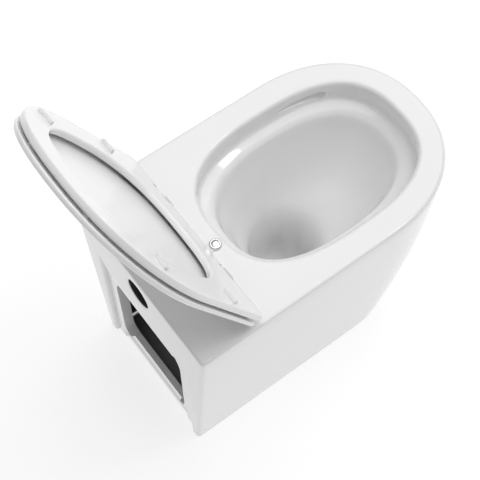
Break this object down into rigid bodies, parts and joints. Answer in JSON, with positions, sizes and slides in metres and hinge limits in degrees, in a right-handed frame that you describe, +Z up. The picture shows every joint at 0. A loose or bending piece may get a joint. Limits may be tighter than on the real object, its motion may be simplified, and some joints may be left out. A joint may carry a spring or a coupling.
{
  "type": "back-to-wall toilet pan with seat",
  "caption": "Floor-standing back-to-wall toilet pan in white china, with a slim seat ring and lid on top-fixed hinges.",
  "frame": {"origin": "on the floor, under the middle of the part as it stands with its seat and lid raised", "axes": "+Z up, +Y towards the wall behind the pan, -Y towards the front of the bowl"},
  "size_m": [0.36, 0.6802, 0.8448],
  "materials": {
    "china": "gloss",
    "seat_plastic": "gloss",
    "hinge_plastic": "satin",
    "bumper_rubber": "matt",
    "chrome": "polished",
    "steel": "satin",
    "sleeve_rubber": "matt"
  },
  "bodies": {
    "pan": {"pan_body": "china", "hinge_bar": "hinge_plastic", "button_bezel": "chrome", "hinge_post_left": "chrome", "hinge_pin_left": "steel", "fixing_bolt_left": "steel", "fixing_sleeve_left": "sleeve_rubber", "fixing_nut_left": "steel", "hinge_post_right": "chrome", "hinge_pin_right": "steel", "fixing_bolt_right": "steel", "fixing_sleeve_right": "sleeve_rubber", "fixing_nut_right": "steel"},
    "seat": {"seat_ring": "seat_plastic", "seat_bumper_front_left": "bumper_rubber", "seat_bumper_front_right": "bumper_rubber", "seat_bumper_rear_left": "bumper_rubber", "seat_bumper_rear_right": "bumper_rubber"},
    "lid": {"lid": "seat_plastic", "lid_bumper_left": "bumper_rubber", "lid_bumper_right": "bumper_rubber"},
    "button": {"release_button": "chrome"}
  },
  "joints": [
    {"name": "seat_hinge", "type": "hinge", "parent": "pan", "child": "seat", "pos_m": [0, 0.13223, 0.445], "axis": [1, 0, 0], "range_deg": [0, 116]},
    {"name": "lid_hinge", "type": "hinge", "parent": "pan", "child": "lid", "pos_m": [0, 0.13223, 0.445], "axis": [1, 0, 0], "range_deg": [0, 116]},
    {"name": "release_press", "type": "slide", "parent": "pan", "child": "button", "axis": [0, 0, -1], "range_m": [0, 0.0015]}
  ],
  "couplings": [
    {"joint": "lid_hinge", "follows": "seat_hinge", "ratio": 1}
  ]
}
